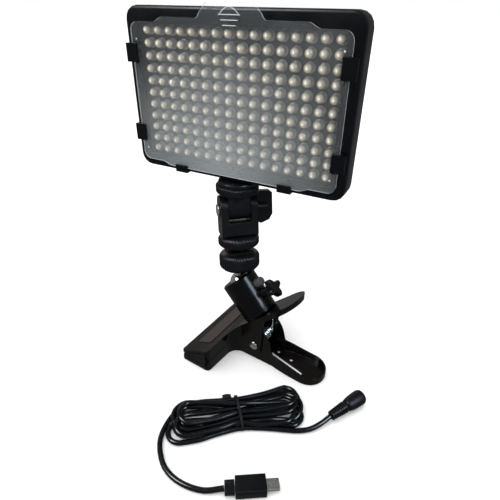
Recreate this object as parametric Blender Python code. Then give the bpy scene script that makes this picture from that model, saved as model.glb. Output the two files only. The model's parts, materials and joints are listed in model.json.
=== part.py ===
"""LED panel light on a tilting shoe mount, with a ball-head spring clamp and its power lead.

Lengths below are millimetres; every mesh is written in metres. +Z is up, the light faces -Y,
and the clamp's lower jaw rests on the plane Z = 0.
"""

import math

import bmesh
import bpy
from mathutils import Matrix, Vector

MM = 0.001
GAP = 0.3

# Panel head
PANEL_CENTRE_Z = 182.5
PANEL_W = 146.4
PANEL_H = 97.1
PANEL_CORNER = 8.0
FRONT_Y = -11.0
PARTING_Y = 0.4
BACK_Y = 4.5
BULGE_W = 72.0
BULGE_H = 62.0
BULGE_BACK_Y = 17.0
WALL = 2.2
WINDOW_INSET = 9.05
LED_COLUMNS = 16
LED_ROWS = 11
LED_PITCH_X = 8.0
LED_PITCH_Z = 7.16
LED_RADIUS = 2.5
LED_TIP_Y = -9.9
BOARD_FRONT_Y = -3.6
BOARD_THICKNESS = 1.6
DIFFUSER_Y = -13.3
DIFFUSER_THICKNESS = 1.0

# Controls on the back of the panel, as (x, z)
DIMMER_XZ = (-53.0, PANEL_CENTRE_Z + 18.0)
SWITCH_XZ = (-53.0, PANEL_CENTRE_Z - 8.0)
TEST_XZ = (53.0, PANEL_CENTRE_Z + 24.0)
INDICATOR_XZ = (53.0, PANEL_CENTRE_Z + 4.0)
RELEASE_Z = PANEL_CENTRE_Z - 25.0
SCREW_PLACES = [(x, PANEL_CENTRE_Z + z) for x in (-66.5, 66.5) for z in (-41.5, 41.5)]

# Tilt mount under the panel
SCREW_Y = -4.5
STUD_RADIUS = 3.0
STUD_TOP_Z = 140.8
HEAD_RING_Z = (124.5, 133.4)
HINGE_Z = 112.3
TILT_AZIMUTH = math.radians(42.0)
TILT_LEAN = math.radians(9.0)
BODY_HALF_W = 12.7
BODY_RADIUS = 8.0
BODY_CROWN = 2.2
TONGUE_HALF_W = 7.5
TONGUE_RADIUS = 7.5
BODY_END = 18.3
SHOE_RING = (18.7, 26.4)
STEM_WHEEL = (32.0, 44.1)
FOOT_PLATE = (29.6, 31.7)
BALL_DISTANCE = 55.84
BALL_RADIUS = 7.5
RING_RADIUS = 14.4

# Spring clamp, in its own frame: x along the handles, y across the jaws
CLAMP_AZIMUTH = math.radians(-6.5)
SHEET = 1.2
JAW_FRONT = -18.0
JAW_REAR = 7.5
JAW_HALF_W = 41.5
JAW_FRONT_TOP = 8.0
JAW_REAR_TOP = 20.0
HANDLE_SLOPE = math.radians(42.5)
UPPER_HALF_W = 12.0
LOWER_HALF_W = 10.3
UPPER_TIP = 58.0
LOWER_TIP = 80.5
PIVOT = (27.5, 14.0)
PIN_RADIUS = 2.0
CONTACT_FRONT_Z = 4.0
SOCKET_RADIUS = 13.0
SOCKET_MOUTH = 3.2
KNOB_HEIGHT = -15.0

# Power lead
CORD_RADIUS = 1.6
HANK_CENTRE = (38.5, -74.2)
HANK_AZIMUTH = math.radians(35.0)
HANK_HALF_WIDTHS = ((-42.5, 3.0), (-41.0, 6.0), (-37.5, 8.5), (-32.0, 10.2), (-18.0, 11.4), (-1.6, 10.2), (1.6, 10.2),
                    (18.0, 12.4), (30.0, 13.4), (37.0, 11.5), (41.0, 7.5), (43.0, 3.5))
HANK_HEIGHT = 9.6
HANK_STRANDS = 7
USB_TAIL = ((4.7, -82.5), (-0.1, -89.8), (0.9, -99.3), (6.7, -113.7), (14.3, -123.1), (22.9, -128.0),
            (33.4, -129.4), (45.2, -127.2), (55.2, -121.5))
DC_TAIL = ((70.7, -71.0, 1.62), (77.4, -68.2, 1.75), (84.3, -63.6, 2.3), (89.4, -57.4, 3.4), (93.2, -50.8, 4.5))
DC_START = (93.4, -50.4, 4.6)
DC_END = (107.5, -25.5, 5.5)
DC_PLUG_RADIUS = 5.0


# ---------------------------------------------------------------- frames

def frame(origin, x_axis, z_axis):
    """Right-handed frame with the given origin, its Z along z_axis and its X near x_axis."""
    z = Vector(z_axis).normalized()
    y = z.cross(Vector(x_axis)).normalized()
    x = y.cross(z)
    rows = Matrix((x, y, z)).transposed().to_4x4()
    return Matrix.Translation(Vector(origin)) @ rows


HINGE = Vector((0.0, SCREW_Y, HINGE_Z))
HINGE_AXIS = Vector((math.cos(TILT_AZIMUTH), math.sin(TILT_AZIMUTH), 0.0))
LEAN_DIRECTION = Vector((math.sin(TILT_AZIMUTH), -math.cos(TILT_AZIMUTH), 0.0))
STEM_DOWN = LEAN_DIRECTION * math.sin(TILT_LEAN) - Vector((0, 0, math.cos(TILT_LEAN)))
BALL = HINGE + STEM_DOWN * BALL_DISTANCE

CLAMP_X = Vector((math.cos(CLAMP_AZIMUTH), math.sin(CLAMP_AZIMUTH), 0.0))
CLAMP_Y = Vector((-math.sin(CLAMP_AZIMUTH), math.cos(CLAMP_AZIMUTH), 0.0))
CLAMP_ORIGIN = CLAMP_Y * BALL.dot(CLAMP_Y)
CLAMP_FRAME = frame(CLAMP_ORIGIN, CLAMP_X, (0, 0, 1))

WORLD = Matrix.Identity(4)
SCREW_FRAME = Matrix.Translation((0.0, SCREW_Y, 0.0))
KNUCKLE_FRAME = frame(HINGE, HINGE_AXIS, (0, 0, 1))
STEM_FRAME = frame(HINGE, HINGE_AXIS, -STEM_DOWN)
BALL_FRAME = frame(BALL, HINGE_AXIS, -STEM_DOWN)
PIVOT_FRAME = CLAMP_FRAME @ Matrix.Translation((PIVOT[0], 0.0, PIVOT[1]))
SLOPE_X = CLAMP_X * math.cos(HANDLE_SLOPE) + Vector((0, 0, math.sin(HANDLE_SLOPE)))
SLOPE_UP = -CLAMP_X * math.sin(HANDLE_SLOPE) + Vector((0, 0, math.cos(HANDLE_SLOPE)))
SOCKET_FRAME = frame(BALL, SLOPE_X, SLOPE_UP)
PLATE_POINT = CLAMP_FRAME @ Vector((JAW_REAR, 0.0, JAW_REAR_TOP))
SOCKET_BASE = (PLATE_POINT - BALL).dot(SLOPE_UP)
KNOB_FRAME = SOCKET_FRAME @ Matrix.Translation((0, 0, KNOB_HEIGHT)) @ frame((0, 0, 0), (0, 1, 0), (1, 0, 0))
TENSION_FRAME = KNOB_FRAME @ Matrix.Translation((0.0, 8.5, 0.0))
HANK_FRAME = Matrix.Translation((*HANK_CENTRE, 0.0)) @ Matrix.Rotation(HANK_AZIMUTH, 4, "Z")
JACK_FRAME = frame((BULGE_W / 2 - 0.2, BACK_Y + 6.3, PANEL_CENTRE_Z - 16.0), (0, 1, 0), (1, 0, 0))


def in_metres(place):
    """The same frame with its origin in metres."""
    location, rotation, _ = place.decompose()
    return Matrix.LocRotScale(location * MM, rotation, None)


# ---------------------------------------------------------------- materials

def material(name, colour, roughness, metallic=0.0, alpha=1.0):
    mat = bpy.data.materials.new(name)
    mat.use_nodes = True
    shader = mat.node_tree.nodes["Principled BSDF"]
    shader.inputs["Base Color"].default_value = (*colour, 1.0)
    shader.inputs["Roughness"].default_value = roughness
    shader.inputs["Metallic"].default_value = metallic
    shader.inputs["Alpha"].default_value = alpha
    mat.diffuse_color = (*colour, alpha)
    return mat


# ---------------------------------------------------------------- mesh helpers

def add_object(name, mesh_builder, mat, place=WORLD, smooth_angle=35.0):
    """Turns a bmesh in millimetres, held in the frame place, into an object with its origin there."""
    bmesh.ops.recalc_face_normals(mesh_builder, faces=mesh_builder.faces)
    bmesh.ops.scale(mesh_builder, vec=(MM, MM, MM), verts=mesh_builder.verts)
    mesh = bpy.data.meshes.new(name)
    mesh_builder.to_mesh(mesh)
    mesh_builder.free()
    mesh.shade_smooth()
    mesh.set_sharp_from_angle(angle=math.radians(smooth_angle))
    obj = bpy.data.objects.new(name, mesh)
    bpy.context.scene.collection.objects.link(obj)
    obj.matrix_world = in_metres(place)
    if mat is not None:
        mesh.materials.append(mat)
    return obj


def combine(obj, builder, operation, place=WORLD):
    """Adds a Boolean of the given shape to an object, keeping the tool as a hidden wire guide."""
    tool = add_object(obj.name + "_tool", builder, None, place)
    tool.hide_render = True
    tool.display_type = "WIRE"
    step = obj.modifiers.new(operation.title(), "BOOLEAN")
    step.operation = operation
    step.solver = "EXACT"
    step.object = tool


def loft(rings, cap_start=True, cap_end=True, closed=False):
    """Joins rings of equally many points with faces; closed joins the last ring to the first."""
    bm = bmesh.new()
    loops = [[bm.verts.new(point) for point in ring] for ring in rings]
    count = len(rings[0])
    pairs = list(zip(loops, loops[1:]))
    if closed:
        pairs.append((loops[-1], loops[0]))
    for lower, upper in pairs:
        for i in range(count):
            j = (i + 1) % count
            bm.faces.new((lower[i], lower[j], upper[j], upper[i]))
    if not closed and cap_start:
        bm.faces.new(loops[0])
    if not closed and cap_end:
        bm.faces.new(loops[-1])
    return bm


def prism(outline, low, high, axis="Z"):
    """Extrudes a flat outline; axis names the direction of the extrusion."""
    def place(point, level):
        u, v = point
        if axis == "Z":
            return (u, v, level)
        if axis == "Y":
            return (u, level, v)
        return (level, u, v)
    return loft([[place(p, low) for p in outline], [place(p, high) for p in outline]])


def lathe(profile, segments=32):
    """Turns (radius, height) points about Z; a radius of 0 closes the shape at that end."""
    bm = bmesh.new()
    rings = []
    for radius, height in profile:
        if radius == 0.0:
            rings.append([bm.verts.new((0.0, 0.0, height))])
            continue
        angles = [math.tau * k / segments for k in range(segments)]
        rings.append([bm.verts.new((radius * math.cos(a), radius * math.sin(a), height)) for a in angles])
    pairs = list(zip(rings, rings[1:]))
    if profile[0][0] > 0.0:
        pairs.append((rings[-1], rings[0]))
    for first, second in pairs:
        for k in range(segments):
            n = (k + 1) % segments
            corners = [first[k % len(first)], first[n % len(first)], second[n % len(second)], second[k % len(second)]]
            bm.faces.new(list(dict.fromkeys(corners)))
    return bm


def rounded_rectangle(width, height, radius, steps=4):
    points = []
    for index, (sx, sy) in enumerate(((1, 1), (-1, 1), (-1, -1), (1, -1))):
        for k in range(steps + 1):
            angle = math.pi / 2 * (index + k / steps)
            x = sx * (width / 2 - radius) + radius * math.cos(angle)
            y = sy * (height / 2 - radius) + radius * math.sin(angle)
            points.append((x, y))
    return points


def arc(cx, cy, radius, start, end, steps):
    """Points on an arc, angles in degrees, both ends included."""
    angles = [math.radians(start + (end - start) * k / steps) for k in range(steps + 1)]
    return [(cx + radius * math.cos(a), cy + radius * math.sin(a)) for a in angles]


def box(low, high):
    (x0, y0, z0), (x1, y1, z1) = low, high
    return prism([(x0, y0), (x1, y0), (x1, y1), (x0, y1)], z0, z1)


def panel_ring(inset, y):
    """Outline of the panel housing, moved inwards by inset, in the plane of the given depth."""
    corner = max(PANEL_CORNER - inset, 1.5)
    outline = rounded_rectangle(PANEL_W - 2 * inset, PANEL_H - 2 * inset, corner)
    return [(x, y, z + PANEL_CENTRE_Z) for x, z in outline]


def bulge_ring(inset, y):
    outline = rounded_rectangle(BULGE_W - 2 * inset, BULGE_H - 2 * inset, max(6.0 - inset, 1.5))
    return [(x, y, z + PANEL_CENTRE_Z) for x, z in outline]


def cylinder_along_y(radius, y0, y1, x, z, segments=24):
    return prism([(x + u, z + v) for u, v in arc(0, 0, radius, 0, 360 - 360 / segments, segments - 1)], y0, y1, "Y")


def knurled(profile, teeth, depth):
    """A turned wheel with a bore whose rim carries teeth; profile rows are (radius, height, toothed)."""
    rings = []
    for radius, height, toothed in profile:
        ring = []
        for k in range(2 * teeth):
            angle = math.pi * k / teeth
            r = radius - (depth if toothed and k % 2 else 0.0)
            ring.append((r * math.cos(angle), r * math.sin(angle), height))
        rings.append(ring)
    return loft(rings, closed=True)


def smooth_path(points, per_span):
    """Catmull-Rom curve through the points, ends repeated."""
    pts = [Vector(p) for p in points]
    pts = [2 * pts[0] - pts[1]] + pts + [2 * pts[-1] - pts[-2]]
    path = []
    for a, b, c, d in zip(pts, pts[1:], pts[2:], pts[3:]):
        for k in range(per_span):
            t = k / per_span
            path.append(0.5 * (2 * b + (c - a) * t + (2 * a - 5 * b + 4 * c - d) * t ** 2
                               + (3 * b - a - 3 * c + d) * t ** 3))
    path.append(pts[-2])
    return path


def sweep(path, radius, sides):
    """A round bar along a path of points."""
    rings = []
    normal = None
    for k, point in enumerate(path):
        ahead = path[min(k + 1, len(path) - 1)]
        behind = path[max(k - 1, 0)]
        tangent = (ahead - behind).normalized()
        guide = normal if normal is not None else tangent.orthogonal()
        normal = (guide - tangent * guide.dot(tangent)).normalized()
        side = tangent.cross(normal)
        angles = [math.tau * s / sides for s in range(sides)]
        rings.append([point + radius * (normal * math.cos(a) + side * math.sin(a)) for a in angles])
    return loft(rings)


# ---------------------------------------------------------------- panel head

def make_front_bezel(mat):
    window = WINDOW_INSET
    profile = ((0.0, PARTING_Y - 0.15), (0.0, FRONT_Y + 2.0), (0.6, FRONT_Y + 0.6), (1.8, FRONT_Y),
               (window, FRONT_Y), (window, FRONT_Y + 1.6), (WALL, FRONT_Y + 1.6), (WALL, PARTING_Y - 0.15))
    bezel = add_object("front_bezel", loft([panel_ring(i, y) for i, y in profile], closed=True), mat)
    for x, z, sideways in clip_places():
        combine(bezel, clip_shape(x, z, sideways), "UNION")
    combine(bezel, lathe([(0, 130), (4.3, 130), (4.3, 142), (0, 142)]), "DIFFERENCE", SCREW_FRAME)
    return bezel


def clip_places():
    """Centres of the diffuser clips: two on each side and two along the bottom edge."""
    for x in (-1, 1):
        yield x * 70.2, PANEL_CENTRE_Z + 23.0, True
        yield x * 70.2, PANEL_CENTRE_Z - 25.2, True
        yield x * 37.0, PANEL_CENTRE_Z - 46.6, False


def clip_shape(x, z, sideways):
    """A hook that stands on the bezel and turns in over the edge of the diffuser."""
    hook_y = DIFFUSER_Y - GAP - 1.1
    lip_back = DIFFUSER_Y - GAP
    base = FRONT_Y + 0.5
    reach, wall = 6.3, 1.6
    if sideways:
        s = 1 if x > 0 else -1
        outline = [(x + s * wall, base), (x + s * wall, hook_y), (x - s * reach, hook_y),
                   (x - s * reach, lip_back), (x - s * 1.8, lip_back), (x - s * 1.8, base)]
        return prism(outline, z - 5.0, z + 5.6)
    outline = [(base, z - 1.2), (hook_y, z - 1.2), (hook_y, z + 3.4), (lip_back, z + 3.4),
               (lip_back, z + 0.9), (base, z + 0.9)]
    return prism(outline, x - 4.5, x + 4.5, "X")


def make_rear_cover(mat):
    wall = 2.0
    outside = [panel_ring(0.0, PARTING_Y + 0.15), panel_ring(0.0, BACK_Y - 2.6), panel_ring(0.8, BACK_Y - 0.9),
               panel_ring(2.6, BACK_Y), bulge_ring(0.0, BACK_Y), bulge_ring(0.4, BULGE_BACK_Y - 1.6),
               bulge_ring(1.8, BULGE_BACK_Y)]
    inside = [bulge_ring(3.0, BULGE_BACK_Y - wall), bulge_ring(wall, BULGE_BACK_Y - wall - 1.0),
              bulge_ring(wall, BACK_Y - wall), panel_ring(3.4, BACK_Y - wall), panel_ring(WALL, BACK_Y - 2.8),
              panel_ring(WALL, PARTING_Y + 0.15)]
    cover = add_object("rear_cover", cup(outside, inside), mat)
    through = (BACK_Y - 4, BACK_Y + 4)
    combine(cover, cylinder_along_y(3.4, *through, *DIMMER_XZ), "DIFFERENCE")
    combine(cover, cylinder_along_y(2.5, *through, *TEST_XZ), "DIFFERENCE")
    combine(cover, opening(*SWITCH_XZ, 6.4, 11.4, *through), "DIFFERENCE")
    combine(cover, opening(*INDICATOR_XZ, 4.4, 18.4, *through), "DIFFERENCE")
    combine(cover, side_hole(4.4), "DIFFERENCE", JACK_FRAME)
    combine(cover, opening(0, RELEASE_Z, 12.4, 5.4, BULGE_BACK_Y - 4, BULGE_BACK_Y + 4), "DIFFERENCE")
    for x in (-46.0, 46.0):
        for z in (-34.0, -31.0, -28.0):
            combine(cover, opening(x, PANEL_CENTRE_Z + z, 16.0, 1.4, *through), "DIFFERENCE")
    for x, z in SCREW_PLACES:
        combine(cover, cylinder_along_y(1.6, *through, x, z, 12), "DIFFERENCE")
    return cover


def cup(outside, inside):
    """A shell open at the front: outer rings front to back, then inner rings back to front."""
    bm = bmesh.new()
    outer = [[bm.verts.new(point) for point in ring] for ring in outside]
    inner = [[bm.verts.new(point) for point in ring] for ring in inside]
    pairs = list(zip(outer, outer[1:])) + list(zip(inner, inner[1:])) + [(inner[-1], outer[0])]
    count = len(outer[0])
    for lower, upper in pairs:
        for i in range(count):
            j = (i + 1) % count
            bm.faces.new((lower[i], lower[j], upper[j], upper[i]))
    bm.faces.new(outer[-1])
    bm.faces.new(inner[0])
    return bm


def opening(x, z, width, height, y0, y1):
    return box((x - width / 2, y0, z - height / 2), (x + width / 2, y1, z + height / 2))


def side_hole(radius):
    return lathe([(0, -6), (radius, -6), (radius, 6), (0, 6)], 24)


def make_led_board(mat):
    """Circuit board with one stepped round post for each light-emitting diode."""
    bm = bmesh.new()
    back_y = BOARD_FRONT_Y + BOARD_THICKNESS
    columns = [(-LED_COLUMNS / 2 + i) * LED_PITCH_X for i in range(LED_COLUMNS + 1)]
    rows = [PANEL_CENTRE_Z + (-LED_ROWS / 2 + j) * LED_PITCH_Z for j in range(LED_ROWS + 1)]
    margin_x = [columns[0] - 6.0] + columns + [columns[-1] + 6.0]
    margin_z = [rows[0] - 1.2] + rows + [rows[-1] + 1.2]
    grid = [[bm.verts.new((x, BOARD_FRONT_Y, z)) for x in margin_x] for z in margin_z]
    for j in range(len(margin_z) - 1):
        for i in range(len(margin_x) - 1):
            corners = [grid[j][i], grid[j][i + 1], grid[j + 1][i + 1], grid[j + 1][i]]
            if 0 < i < len(margin_x) - 2 and 0 < j < len(margin_z) - 2:
                add_post(bm, corners)
            else:
                bm.faces.new(corners)
    border = grid[0] + [row[-1] for row in grid[1:-1]] + grid[-1][::-1] + [row[0] for row in grid[-2:0:-1]]
    back = [bm.verts.new((v.co.x, back_y, v.co.z)) for v in border]
    for k in range(len(border)):
        n = (k + 1) % len(border)
        bm.faces.new((border[k], border[n], back[n], back[k]))
    bm.faces.new(back)
    return add_object("led_board", bm, mat)


def add_post(bm, corners):
    """Fills one cell of the board with a six-sided post and the flat ring of board around it."""
    sides = 6
    centre = sum((v.co for v in corners), Vector()) / 4
    angles = [math.tau * k / sides for k in range(sides)]
    levels = ((LED_RADIUS, BOARD_FRONT_Y), (LED_RADIUS * 0.9, LED_TIP_Y))
    rings = []
    for radius, y in levels:
        rings.append([bm.verts.new((centre.x + radius * math.cos(a), y, centre.z + radius * math.sin(a)))
                      for a in angles])
    east, north_east, north_west, west, south_west, south_east = rings[0]
    corner_sw, corner_se, corner_ne, corner_nw = corners
    bm.faces.new((corner_sw, corner_se, south_east, south_west))
    bm.faces.new((corner_se, corner_ne, east))
    bm.faces.new((corner_se, east, south_east))
    bm.faces.new((corner_ne, north_east, east))
    bm.faces.new((corner_ne, corner_nw, north_west, north_east))
    bm.faces.new((corner_nw, west, north_west))
    bm.faces.new((corner_nw, corner_sw, west))
    bm.faces.new((corner_sw, south_west, west))
    for lower, upper in zip(rings, rings[1:]):
        for k in range(sides):
            n = (k + 1) % sides
            bm.faces.new((lower[k], lower[n], upper[n], upper[k]))
    bm.faces.new(rings[-1])
    return bm


def make_diffuser(mat):
    """Clear plate with stepped shoulders, a bowed lower edge and a grip tab that stands above the housing."""
    right = [(22.0, 42.9), (45.0, 42.9), (50.0, 40.1)] + arc(63.0, 35.1, 5.0, 90, 0, 4)
    right += arc(63.0, -37.9, 5.0, 0, -90, 4) + [(52.0, -42.9), (45.0, -45.1)]
    tab = [(16.5, 53.2)]
    half = tab + right
    outline = [(x, z + PANEL_CENTRE_Z) for x, z in half]
    outline += [(-x, z + PANEL_CENTRE_Z) for x, z in reversed(half)]
    return add_object("diffuser", prism(outline, DIFFUSER_Y, DIFFUSER_Y + DIFFUSER_THICKNESS, "Y"), mat)


def make_driver_board(mat):
    """Driver circuit board inside the bulge, with its choke and capacitors as steps."""
    y = BACK_Y + 3.0
    outline = [(-30, y), (30, y), (30, y + 1.6), (22, y + 1.6), (22, y + 6.5), (10, y + 6.5), (10, y + 1.6),
               (-8, y + 1.6), (-8, y + 5.0), (-20, y + 5.0), (-20, y + 1.6), (-30, y + 1.6)]
    z = PANEL_CENTRE_Z + 4.0
    return add_object("driver_board", prism(outline, z - 6.0, z + 18.0), mat)


def make_battery_rail(mat):
    """Channel that a camera battery slides down into, with inturned lips along both sides."""
    y = BULGE_BACK_Y + GAP
    outline = [(-22, y), (22, y), (22, y + 5.5), (18.6, y + 5.5), (18.6, y + 4.0), (20.2, y + 4.0),
               (20.2, y + 1.8), (-20.2, y + 1.8), (-20.2, y + 4.0), (-18.6, y + 4.0), (-18.6, y + 5.5), (-22, y + 5.5)]
    return add_object("battery_rail", prism(outline, PANEL_CENTRE_Z - 20.0, PANEL_CENTRE_Z + 27.0), mat)


def make_battery_contacts(mat):
    """Terminal block with two slots for the battery's blades."""
    y = BULGE_BACK_Y + GAP + 1.8 + GAP
    outline = [(-9, y), (9, y), (9, y + 3.2), (6, y + 3.2), (6, y + 1.2), (4.6, y + 1.2), (4.6, y + 3.2),
               (-4.6, y + 3.2), (-4.6, y + 1.2), (-6, y + 1.2), (-6, y + 3.2), (-9, y + 3.2)]
    return add_object("battery_contacts", prism(outline, PANEL_CENTRE_Z - 14.0, PANEL_CENTRE_Z - 8.0), mat)


def make_release_button(mat):
    low = (-6.0, BULGE_BACK_Y - 1.5, RELEASE_Z - 2.5)
    high = (6.0, BULGE_BACK_Y + 2.6, RELEASE_Z + 2.5)
    place = Matrix.Translation((0.0, BULGE_BACK_Y, RELEASE_Z))
    bm = box(low, high)
    bm.transform(place.inverted())
    return add_object("battery_release_button", bm, mat, place)


def make_rear_controls(mats):
    x, z = DIMMER_XZ
    profile = [(3.0, -2.0, False), (3.0, 0.6, False), (8.6, 0.6, False), (9.0, 1.4, True), (9.0, 8.0, True),
               (8.0, 9.0, False), (1.2, 9.0, False), (1.2, -2.0, False)]
    place = frame((x, BACK_Y, z), (1, 0, 0), (0, 1, 0))
    add_object("dimmer_knob", knurled(profile, 18, 0.5), mats["plastic"], place)

    x, z = SWITCH_XZ
    place = Matrix.Translation((x, BACK_Y, z - 2.4))
    slider = [(-3.0, -3.0), (0.8, -3.0), (1.8, -2.4), (1.0, -1.5), (1.8, -0.6), (1.0, 0.4), (1.8, 1.4), (1.0, 2.2),
              (1.8, 3.0), (-3.0, 3.0)]
    add_object("power_switch", prism(slider, -2.8, 2.8, "X"), mats["plastic"], place)

    x, z = TEST_XZ
    place = frame((x, BACK_Y, z), (1, 0, 0), (0, 1, 0))
    cap = [(0, -2.6), (2.1, -2.6), (2.1, 1.0), (1.6, 1.5), (0, 1.5)]
    add_object("battery_test_button", lathe(cap, 20), mats["silver_plastic"], place)

    x, z = INDICATOR_XZ
    window = box((x - 1.9, BACK_Y - 2.0, z - 8.9), (x + 1.9, BACK_Y + 0.3, z + 8.9))
    add_object("indicator_window", window, mats["lens"])

    jack = [(4.1, -5.0), (4.1, 0.6), (2.9, 0.6), (2.9, -4.0), (1.0, -4.0), (1.0, -0.6), (0, -0.6)]
    jack = [(0, -5.0)] + jack
    add_object("power_jack", lathe(jack, 24), mats["plastic"], JACK_FRAME)

    insert = [(STUD_RADIUS + GAP, 134.0), (4.0, 134.0), (4.0, 139.0), (STUD_RADIUS + GAP, 139.0)]
    add_object("screw_insert", lathe([(r, h + 2.6) for r, h in insert], 24), mats["brass"], SCREW_FRAME)

    for index, (x, z) in enumerate(SCREW_PLACES):
        place = frame((x, BACK_Y, z), (1, 0, 0), (0, 1, 0))
        screw = [(0, -4.0), (1.2, -4.0), (1.2, 0.3), (2.3, 0.3), (2.0, 1.4), (0, 1.6)]
        add_object(f"cover_screw_{index + 1}", lathe(screw, 16), mats["black_screw"], place)


# ---------------------------------------------------------------- tilting shoe mount

def make_head_ring(mat):
    low, high = HEAD_RING_Z
    bore = STUD_RADIUS + GAP
    disc = RING_RADIUS - 1.8
    profile = [(bore, low, False), (disc - 0.8, low, False), (RING_RADIUS - 0.4, low + 0.9, False),
               (RING_RADIUS, low + 1.4, True), (RING_RADIUS, high - 3.6, True), (RING_RADIUS - 0.8, high - 2.9, False),
               (disc, high - 2.9, False), (disc, high - 0.6, False), (disc - 0.6, high, False), (bore, high, False)]
    return add_object("head_lock_ring", knurled(profile, 24, 0.7), mat, SCREW_FRAME)


def make_tilt_knuckle(mat):
    """Tongue of the tilt hinge, with the neck and the camera stud that screws into the panel."""
    top = HEAD_RING_Z[0] - HINGE_Z - GAP
    tongue = arc(0, 0, TONGUE_RADIUS, 180, 360, 12) + [(TONGUE_RADIUS, 4.0), (5.2, top - 1.2), (-5.2, top - 1.2),
                                                       (-TONGUE_RADIUS, 4.0)]
    knuckle = add_object("tilt_knuckle", prism(tongue, -TONGUE_HALF_W, TONGUE_HALF_W, "X"), mat, KNUCKLE_FRAME)
    end = STUD_TOP_Z - HINGE_Z
    neck = [(0, 3.0), (6.6, 3.0), (6.6, top), (STUD_RADIUS, top), (STUD_RADIUS, end - 0.6), (STUD_RADIUS - 0.6, end),
            (0, end)]
    combine(knuckle, lathe(neck, 24), "UNION", KNUCKLE_FRAME)
    combine(knuckle, prism(arc(0, 0, 2.6, 0, 345, 23), -20, 20, "X"), "DIFFERENCE", KNUCKLE_FRAME)
    return knuckle


def make_tilt_body(mat):
    """Forked block: a round-topped barrel with a gap for the tongue, on a straight foot."""
    outline = arc(0, BODY_CROWN, BODY_RADIUS, 0, 180, 16) + [(-BODY_RADIUS, -BODY_END + 1.0), (-7.0, -BODY_END),
                                                     (7.0, -BODY_END), (BODY_RADIUS, -BODY_END + 1.0)]
    body = add_object("tilt_body", prism(outline, -BODY_HALF_W, BODY_HALF_W, "X"), mat, STEM_FRAME)
    half = TONGUE_HALF_W + GAP
    combine(body, box((-half, -20, -TONGUE_RADIUS - 0.8), (half, 20, 20)), "DIFFERENCE", STEM_FRAME)
    combine(body, prism(arc(0, 0, 2.6, 0, 345, 23), -20, 20, "X"), "DIFFERENCE", STEM_FRAME)
    return body


def make_tilt_bolt(mat):
    left = -BODY_HALF_W - GAP
    profile = [(0, left - 1.4), (3.8, left - 1.4), (4.4, left - 0.8), (4.4, left), (2.3, left), (2.3, BODY_HALF_W + 4.0),
               (0, BODY_HALF_W + 4.0)]
    axis = frame(HINGE, -STEM_DOWN, HINGE_AXIS)
    return add_object("tilt_bolt", lathe(profile, 24), mat, axis)


def make_tilt_lever(mat):
    """Wing lever that screws onto the end of the hinge bolt."""
    a = BODY_HALF_W + GAP
    wing = [(a + 0.8, 3.4), (a + 1.2, 10.4), (a + 2.6, 11.6), (a + 9.4, 11.2), (a + 11.2, 9.6), (a + 11.4, -5.4),
            (a + 9.0, -9.6), (a + 3.0, -11.8), (a + 1.2, -10.8), (a + 0.8, -3.4)]
    flat = [(u, -2.3, v) for u, v in wing]
    lever = add_object("tilt_lever", loft([flat, [(u, 2.3, v) for u, _, v in flat]]), mat, STEM_FRAME)
    hub_frame = frame(HINGE, -STEM_DOWN, HINGE_AXIS)
    combine(lever, lathe([(0, a), (4.6, a), (4.2, a + 7.4), (0, a + 8.0)], 24), "UNION", hub_frame)
    combine(lever, lathe([(0, a - 2), (2.6, a - 2), (2.6, a + 4.4), (0, a + 4.4)], 24), "DIFFERENCE", hub_frame)
    return lever


def make_shoe_ring(mat):
    low, high = BALL_DISTANCE - SHOE_RING[1], BALL_DISTANCE - SHOE_RING[0]
    bore = 6.0 + GAP
    profile = [(bore, low, False), (RING_RADIUS - 1.6, low, False), (RING_RADIUS, low + 1.4, True),
               (RING_RADIUS, high - 1.8, True), (RING_RADIUS - 2.4, high, False), (bore, high, False)]
    return add_object("shoe_lock_ring", knurled(profile, 24, 0.7), mat, BALL_FRAME)


def make_shoe_foot(mat):
    """Accessory-shoe foot: a square plate with a round neck, tapped from below for the clamp's stud."""
    low, high = BALL_DISTANCE - FOOT_PLATE[1], BALL_DISTANCE - FOOT_PLATE[0]
    foot = add_object("shoe_foot", box((-9.0, -9.0, low), (9.0, 9.0, high)), mat, BALL_FRAME)
    top = BALL_DISTANCE - BODY_END - GAP
    combine(foot, lathe([(0, low + 0.6), (6.0, low + 0.6), (6.0, top), (0, top)], 24), "UNION", BALL_FRAME)
    combine(foot, lathe([(0, low - 2), (3.3, low - 2), (3.3, low + 6.4), (0, low + 6.4)], 24), "DIFFERENCE", BALL_FRAME)
    return foot


def make_stem_wheel(mat):
    low, high = BALL_DISTANCE - STEM_WHEEL[1], BALL_DISTANCE - STEM_WHEEL[0]
    bore = STUD_RADIUS + GAP
    profile = [(bore, low, False), (RING_RADIUS - 2.6, low, False), (RING_RADIUS - 0.4, low + 2.0, True),
               (RING_RADIUS, low + 3.0, True), (RING_RADIUS, high - 2.4, True), (RING_RADIUS - 1.8, high, False),
               (bore, high, False)]
    return add_object("stem_lock_wheel", knurled(profile, 24, 0.7), mat, BALL_FRAME)


def make_ball_stem(mat):
    """Ball with its neck and the threaded stud that carries the mount."""
    neck = 4.0
    start = math.degrees(math.asin(neck / BALL_RADIUS))
    ball = [(BALL_RADIUS * math.sin(math.radians(a)), -BALL_RADIUS * math.cos(math.radians(a)))
            for a in [k * (180 - start) / 8 for k in range(1, 9)]]
    top = BALL_DISTANCE - STEM_WHEEL[1] - GAP
    stud_top = BALL_DISTANCE - FOOT_PLATE[1] + 5.4
    profile = [(0, -BALL_RADIUS)] + ball + [(neck, top), (STUD_RADIUS, top), (STUD_RADIUS, stud_top), (0, stud_top)]
    return add_object("ball_stem", lathe(profile, 24), mat, BALL_FRAME)


# ---------------------------------------------------------------- ball socket

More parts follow.
